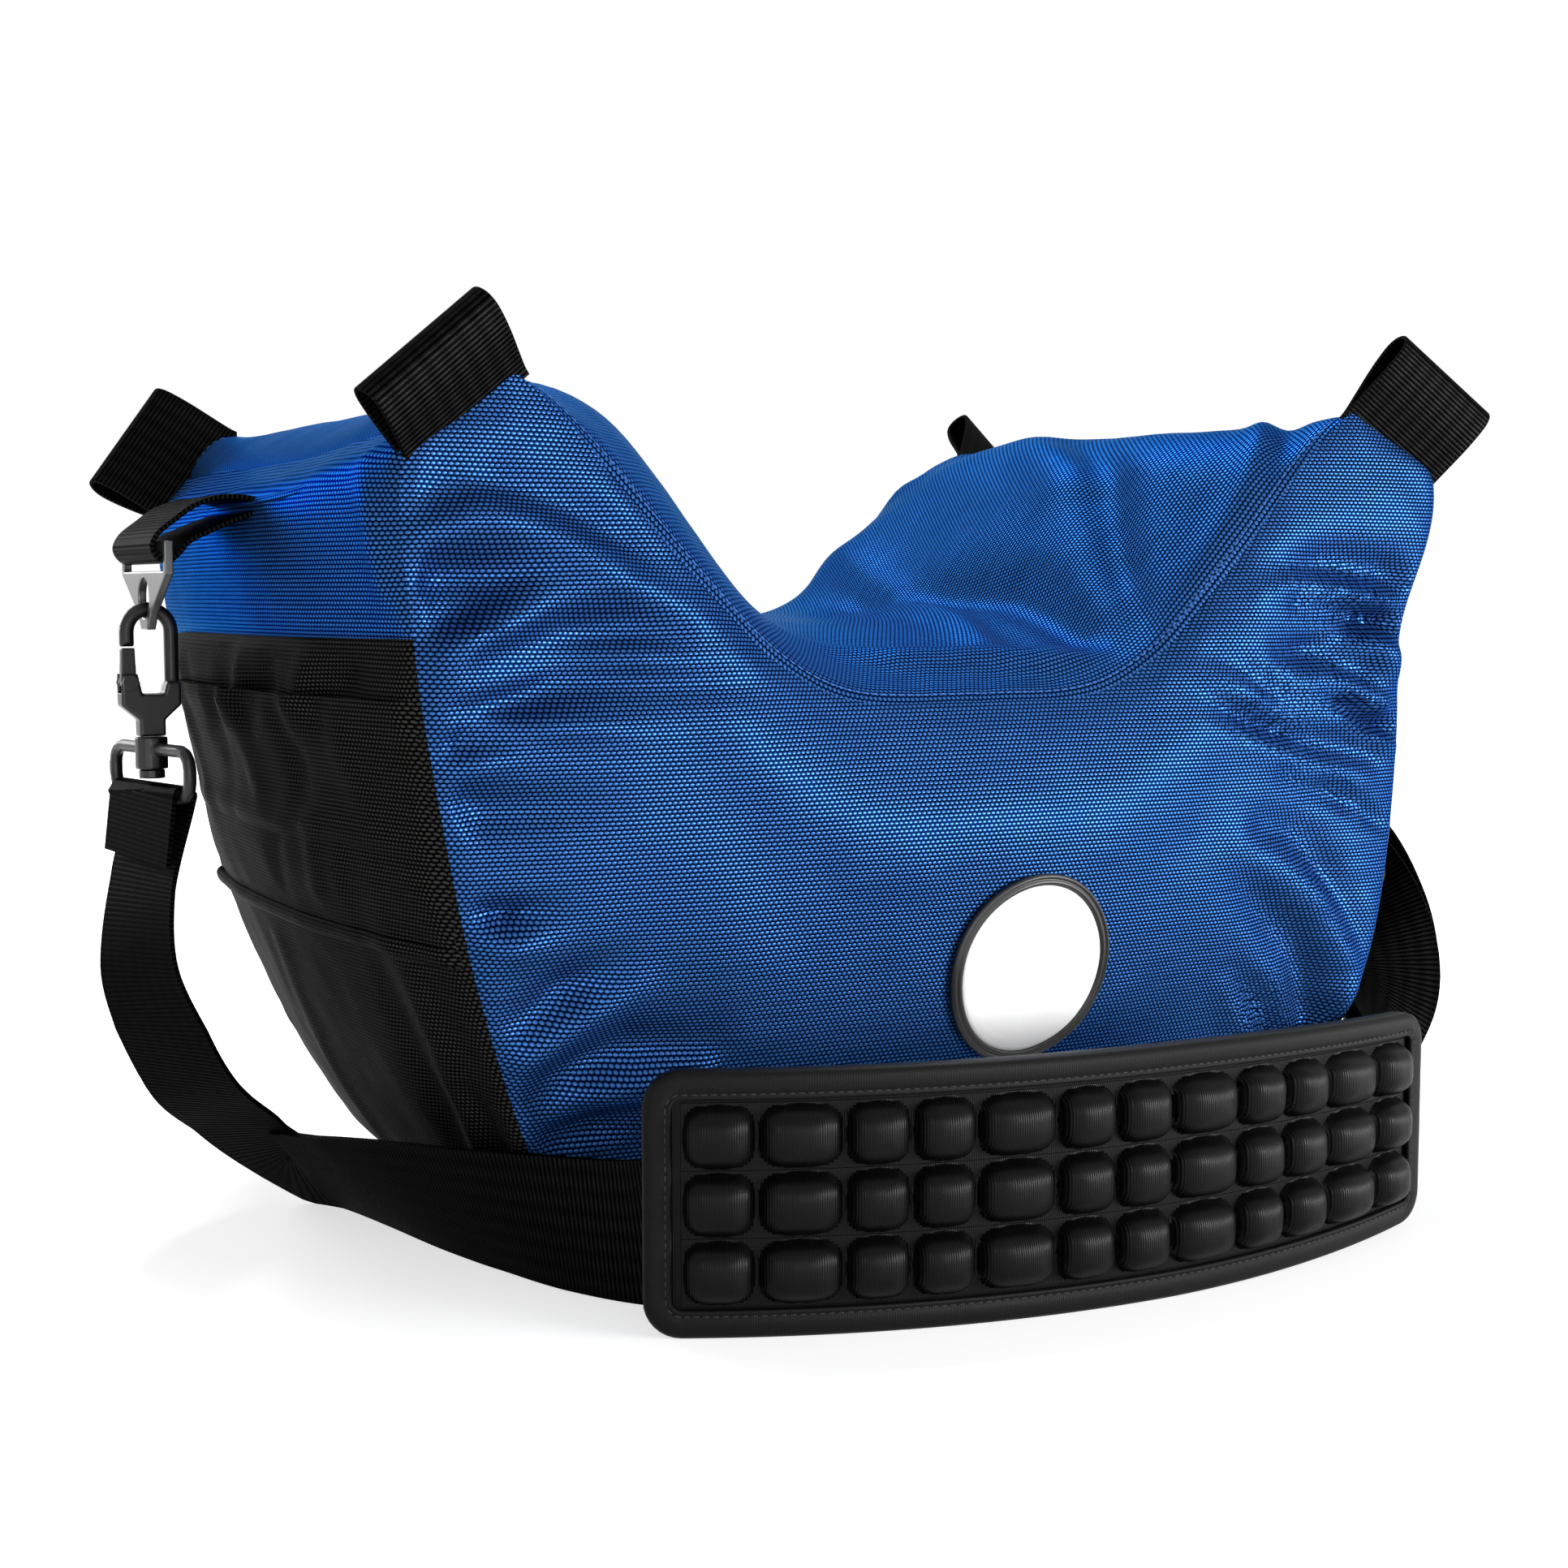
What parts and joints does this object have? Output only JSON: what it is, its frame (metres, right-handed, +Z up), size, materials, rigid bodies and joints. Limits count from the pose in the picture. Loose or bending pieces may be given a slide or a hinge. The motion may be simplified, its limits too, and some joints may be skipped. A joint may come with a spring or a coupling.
{
  "type": "camera bean bag",
  "caption": "Saddle-shaped camera bean bag with webbing corner loops, end pockets and a hooked shoulder strap with a padded sleeve.",
  "frame": {"origin": "centre of the flat base, on the surface that the bag stands on", "axes": "+X from the left lobe to the right one, -Y towards the face with the round patch, +Z up"},
  "size_m": [0.5578, 0.3905, 0.3264],
  "materials": {
    "blue_nylon": "ballistic weave, satin",
    "black_nylon": "ballistic weave, satin",
    "beans": "matte beads",
    "webbing": "ribbed webbing",
    "ring_steel": "grey satin",
    "black_metal": "black satin",
    "slide_plastic": "moulded",
    "pad_fabric": "stretch knit",
    "binding_tape": "fine tape",
    "patch_rubber": "soft rubber",
    "patch_white": "soft rubber",
    "zip_tape": "tape with coil teeth"
  },
  "bodies": {
    "bag": {"front_panel": "blue_nylon", "back_panel": "blue_nylon", "saddle_panel": "blue_nylon", "bottom_panel": "black_nylon", "left_end_upper_panel": "blue_nylon", "left_end_lower_panel": "black_nylon", "right_end_upper_panel": "blue_nylon", "right_end_lower_panel": "black_nylon", "bean_filling": "beans", "left_pocket": "black_nylon", "left_pocket_band": "black_nylon", "left_rolled_seam": "black_nylon", "left_seam_flap": "blue_nylon", "right_pocket": "black_nylon", "right_pocket_band": "black_nylon", "right_rolled_seam": "black_nylon", "right_seam_flap": "blue_nylon", "corner_loop_front_left": "webbing", "corner_loop_back_left": "webbing", "corner_loop_front_right": "webbing", "corner_loop_back_right": "webbing", "left_anchor_ring": "ring_steel", "left_anchor_tab": "webbing", "right_anchor_ring": "ring_steel", "right_anchor_tab": "webbing", "patch_rim": "patch_rubber", "patch_disc": "patch_white", "fill_zip": "zip_tape"},
    "strap": {"strap_webbing": "webbing", "strap_tail": "webbing", "left_swivel_loop": "black_metal", "right_swivel_loop": "black_metal"},
    "left_hook": {"left_hook_body": "black_metal", "left_gate_rivet": "black_metal", "left_gate_spring": "black_metal", "left_swivel_post": "black_metal"},
    "right_hook": {"right_hook_body": "black_metal", "right_gate_rivet": "black_metal", "right_gate_spring": "black_metal", "right_swivel_post": "black_metal"},
    "left_gate": {"left_hook_gate": "black_metal"},
    "right_gate": {"right_hook_gate": "black_metal"},
    "pad": {"pad_base": "pad_fabric", "pad_binding": "binding_tape", "pad_cell_row_1": "pad_fabric", "pad_cell_row_2": "pad_fabric", "pad_cell_row_3": "pad_fabric", "pad_sleeve": "pad_fabric"},
    "slide": {"strap_slide": "slide_plastic"},
    "zip_pull": {"fill_zip_slider": "black_metal"}
  },
  "joints": [
    {"name": "strap_lift", "type": "hinge", "parent": "bag", "child": "strap", "pos_m": [0, 0, 0.228], "axis": [-1, 0, 0], "range_deg": [0, 85]},
    {"name": "left_swivel", "type": "hinge", "parent": "strap", "child": "left_hook", "pos_m": [-0.257, 0, 0.18], "axis": [0, 0, 1], "range_deg": [-25, 25]},
    {"name": "right_swivel", "type": "hinge", "parent": "strap", "child": "right_hook", "pos_m": [0.257, 0, 0.18], "axis": [0, 0, 1], "range_deg": [-25, 25]},
    {"name": "left_gate_press", "type": "hinge", "parent": "left_hook", "child": "left_gate", "pos_m": [-0.2646, 0, 0.199], "axis": [0, 1, 0], "range_deg": [0, 25], "stiffness_Nm_per_rad": 0.02, "springref_deg": -11.46},
    {"name": "right_gate_press", "type": "hinge", "parent": "right_hook", "child": "right_gate", "pos_m": [0.2646, 0, 0.199], "axis": [0, -1, 0], "range_deg": [0, 25], "stiffness_Nm_per_rad": 0.02, "springref_deg": -11.46},
    {"name": "pad_slide", "type": "hinge", "parent": "strap", "child": "pad", "pos_m": [0.033, 0.131, 0.042], "axis": [0, 0, 1], "range_deg": [-3, 2]},
    {"name": "slide_run", "type": "hinge", "parent": "strap", "child": "slide", "pos_m": [0.033, 0.131, 0.034], "axis": [0, 0, 1], "range_deg": [0, 3]},
    {"name": "zip_run", "type": "slide", "parent": "bag", "child": "zip_pull", "axis": [1, 0, 0], "range_m": [0, 0.146]}
  ]
}
